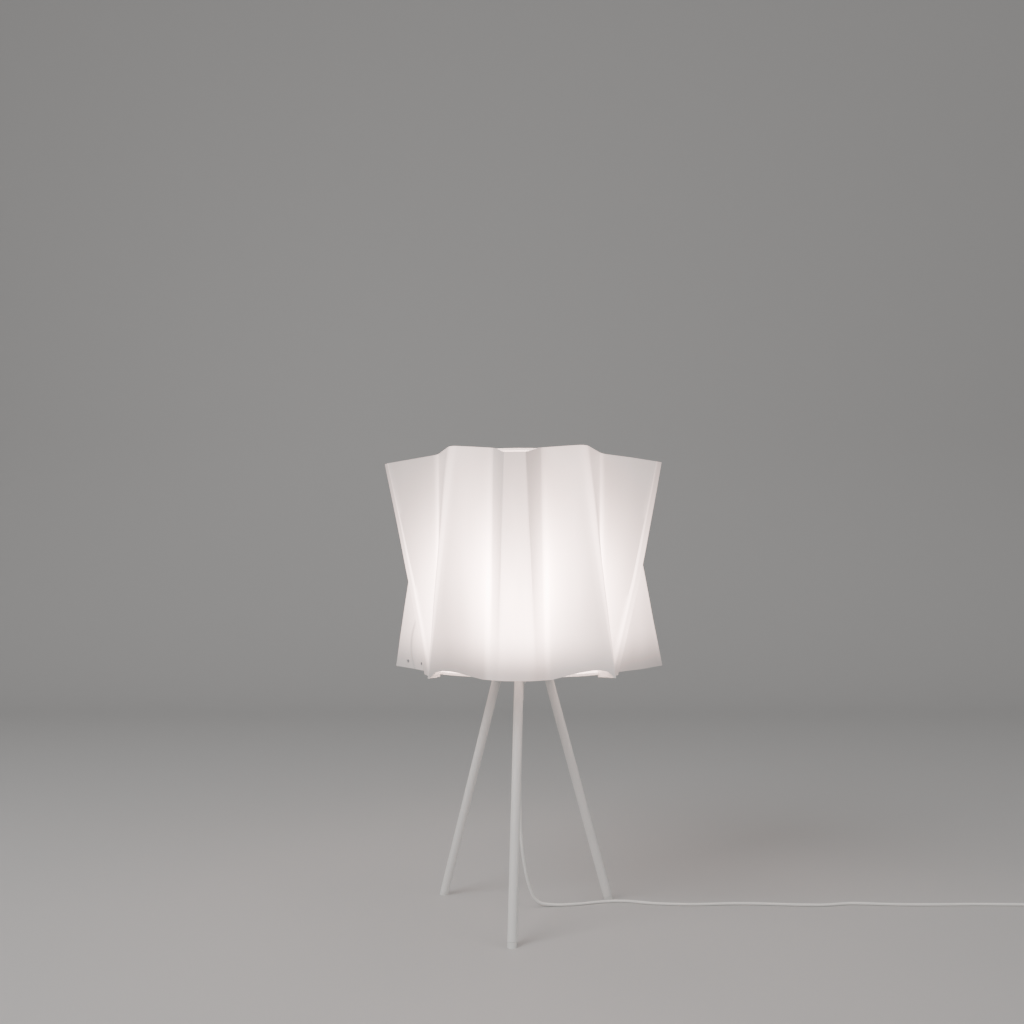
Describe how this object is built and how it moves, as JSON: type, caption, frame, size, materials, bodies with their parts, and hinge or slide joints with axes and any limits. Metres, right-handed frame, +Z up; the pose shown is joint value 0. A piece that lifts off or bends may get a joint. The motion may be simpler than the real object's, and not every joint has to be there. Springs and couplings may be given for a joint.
{
  "type": "table lamp",
  "caption": "Table lamp with a tall pleated shade of folded translucent sheet on three slim splayed tube legs, lampholder and bulb inside, and a pale mains cord with plug.",
  "frame": {"origin": "on the floor, on the lamp's vertical axis, midway between the three feet", "axes": "+Z up along the lamp's axis; -Y points to the front, where the front leg stands; +X to the right, the way the cord runs"},
  "size_m": [0.9634, 0.3716, 0.601],
  "materials": {
    "shade_sheet": "satin, translucent paper-like sheet",
    "rivet_steel": "satin",
    "clear_ring": "satin white, translucent",
    "white_paint": "satin",
    "pale_rubber": "matt",
    "plated_steel": "plated",
    "pale_plastic": "satin",
    "holder_ceramic": "glazed ceramic",
    "holder_brass": "bright",
    "wire_cover": "matt",
    "bulb_frosted": "frosted, lit",
    "cap_metal": "satin",
    "dark_glass": "black glass",
    "bulb_clear": "clear",
    "filament_glow": "lit",
    "cord_cover": "satin",
    "tie_rubber": "matt"
  },
  "bodies": {
    "stand": {"hub": "white_paint", "leg_front": "white_paint", "leg_right": "white_paint", "leg_left": "white_paint", "foot_front": "pale_rubber", "foot_right": "pale_rubber", "foot_left": "pale_rubber", "leg_studs": "plated_steel", "stem_tube": "plated_steel", "lock_washer": "plated_steel", "lock_nut": "plated_steel", "cord_grip": "pale_plastic", "holder_cap": "pale_plastic", "holder_body": "pale_plastic", "holder_core": "holder_ceramic", "terminal_screws": "plated_steel", "thread_shell": "holder_brass", "centre_contact": "holder_brass", "inner_wires": "wire_cover", "cord_free": "cord_cover", "cord_coil": "cord_cover", "coil_tie": "tie_rubber", "plug_body": "cord_cover", "plug_pins": "plated_steel"},
    "shade": {"pleated_sheet": "shade_sheet", "seam_patches": "shade_sheet", "seam_rivets": "rivet_steel", "top_ring": "clear_ring", "carrier_plate": "clear_ring"},
    "bulb": {"bulb_glass": "bulb_frosted", "bulb_cap": "cap_metal", "bulb_insulator": "dark_glass", "bulb_tip": "cap_metal", "bulb_stem": "bulb_clear", "bulb_filaments": "filament_glow"},
    "switch": {"switch_bar": "pale_plastic"}
  },
  "joints": [
    {"name": "shade_lift", "type": "slide", "parent": "stand", "child": "shade", "axis": [0, 0, 1], "range_m": [0, 0.2]},
    {"name": "bulb_turn", "type": "hinge", "parent": "stand", "child": "bulb", "pos_m": [0, 0, 0.4], "axis": [0, 0, 1], "range_deg": [0, 360]},
    {"name": "switch_push", "type": "slide", "parent": "stand", "child": "switch", "axis": [1, 0, 0], "range_m": [-0.006, 0]}
  ]
}
